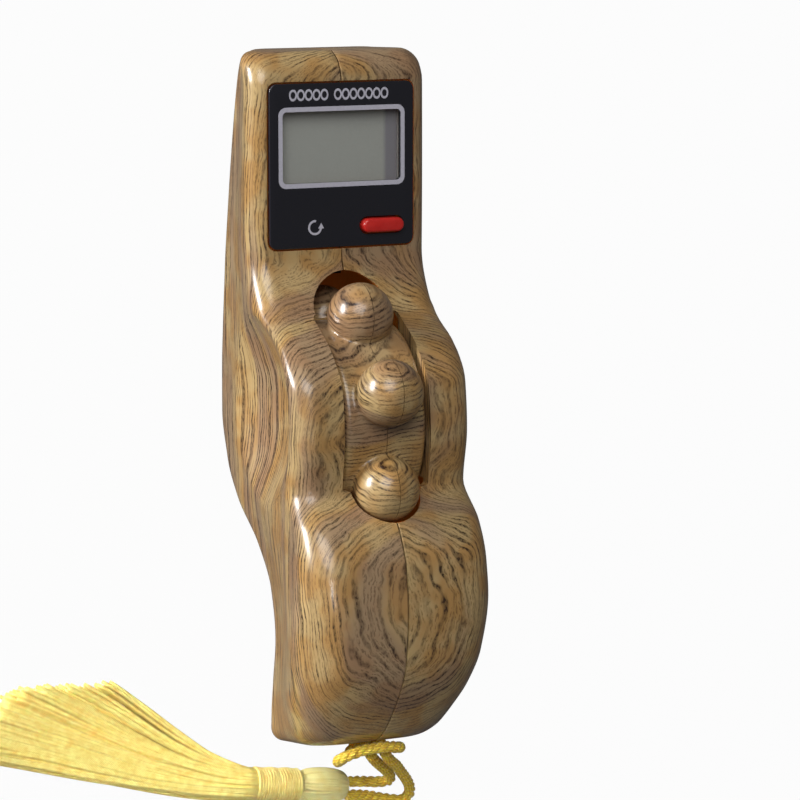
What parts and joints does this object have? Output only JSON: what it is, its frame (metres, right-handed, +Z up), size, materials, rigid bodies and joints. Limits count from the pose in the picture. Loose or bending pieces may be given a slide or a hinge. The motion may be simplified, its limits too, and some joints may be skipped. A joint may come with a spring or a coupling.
{
  "type": "digital bead counter",
  "caption": "Hand-held digital counter with a bead wheel under the thumb, a small display with a reset button, and a yellow tassel tied through its foot",
  "frame": {"origin": "centre of the body's bounding box at the surface it lies on", "axes": "+Y from the foot to the head, +Z up, away from the surface; the body lies on its back with the display tilted up towards the head"},
  "size_m": [0.0777, 0.1229, 0.0489],
  "materials": {
    "printed_shell": "glossy wood-grain water-transfer print on moulded ABS",
    "printed_wheel": "glossy wood-grain water-transfer print",
    "black_label": "glossy black sheet",
    "clear_window": "clear acrylic window",
    "lcd_glass": "grey-green liquid-crystal cell",
    "white_nylon": "natural nylon",
    "striped_elastomer": "layered connecting strip",
    "circuit_board": "green board",
    "black_epoxy": "black moulding",
    "red_button": "glossy red plastic",
    "grey_silicone": "soft silicone",
    "plated_steel": "nickel plated",
    "cell_can": null,
    "magnet_plating": "nickel plated magnet",
    "tinned_brass": "tinned spring brass",
    "red_wire": "insulated wire",
    "black_wire": "insulated wire",
    "yellow_silk": "twisted silky yarn"
  },
  "bodies": {
    "case": {"shell_left": "printed_shell", "shell_right": "printed_shell", "battery_cap": "printed_shell", "display_label": "black_label", "window_lens": "clear_window", "lcd_glass": "lcd_glass", "lcd_holder": "white_nylon", "battery_tray": "white_nylon", "wheel_washer_left": "white_nylon", "wheel_washer_right": "white_nylon", "zebra_strip": "striped_elastomer", "main_board": "circuit_board", "sensor_board": "circuit_board", "chip_blob": "black_epoxy", "reed_switch": "black_epoxy", "reset_pad": "grey_silicone", "battery_cell": "cell_can", "wheel_axle": "plated_steel", "lanyard_pin": "plated_steel", "board_screw_left": "plated_steel", "board_screw_right": "plated_steel", "case_screw_head": "plated_steel", "case_screw_neck": "plated_steel", "case_screw_belly": "plated_steel", "case_screw_foot": "plated_steel", "battery_contact_pos": "tinned_brass", "battery_contact_neg": "tinned_brass", "battery_wire_pos": "red_wire", "sensor_wire_right": "red_wire", "battery_wire_neg": "black_wire", "sensor_wire_left": "black_wire", "tassel_cord": "yellow_silk", "tassel_head": "yellow_silk", "tassel_binding": "yellow_silk", "tassel_fringe": "yellow_silk"},
    "wheel": {"wheel_left_half": "printed_wheel", "wheel_right_half": "printed_wheel", "wheel_magnet_1": "magnet_plating", "wheel_magnet_2": "magnet_plating", "wheel_magnet_3": "magnet_plating", "wheel_magnet_4": "magnet_plating", "wheel_magnet_5": "magnet_plating", "wheel_magnet_6": "magnet_plating", "wheel_magnet_7": "magnet_plating"},
    "button": {"reset_button": "red_button"}
  },
  "joints": [
    {"name": "wheel_spin", "type": "hinge", "parent": "case", "child": "wheel", "pos_m": [0, -0.00419, 0.02561], "axis": [1, 0, 0], "continuous": true},
    {"name": "reset_press", "type": "slide", "parent": "case", "child": "button", "axis": [0, 0.342, -0.9397], "range_m": [0, 0.0007], "stiffness_N_per_m": 400, "deforming": ["reset_pad"]}
  ]
}
